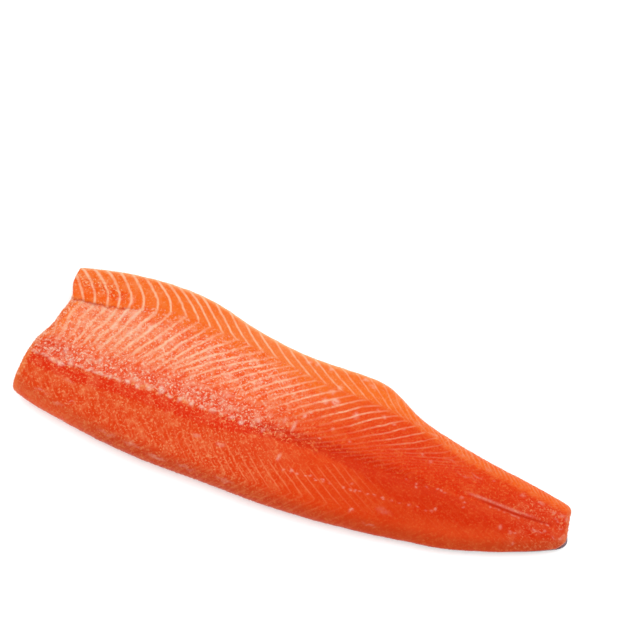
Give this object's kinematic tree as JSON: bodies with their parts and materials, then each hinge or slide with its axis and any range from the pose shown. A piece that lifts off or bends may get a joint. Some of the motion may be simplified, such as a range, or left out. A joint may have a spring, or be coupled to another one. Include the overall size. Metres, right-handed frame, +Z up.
{
  "type": "raw salmon fillet",
  "caption": "Side of raw salmon lying flesh side up on its own skin, with a raised belly strip at the head end, fine fat lines across the flesh and a narrow cut tail end.",
  "frame": {"origin": "centre of the bounding box seen from above, on the surface that the skin lies on", "axes": "+X along the fillet from the cut head end to the cut tail end, +Y from the back edge to the belly edge, +Z up out of the flesh side"},
  "size_m": [0.4967, 0.1601, 0.0301],
  "materials": {
    "flesh": "raw salmon flesh, moist satin with fine pale fat lines",
    "skin": "scaled fish skin, wet, dark on the back and silver-white on the belly"
  },
  "bodies": {
    "root": {"flesh": "flesh", "skin": "skin"}
  },
  "joints": []
}
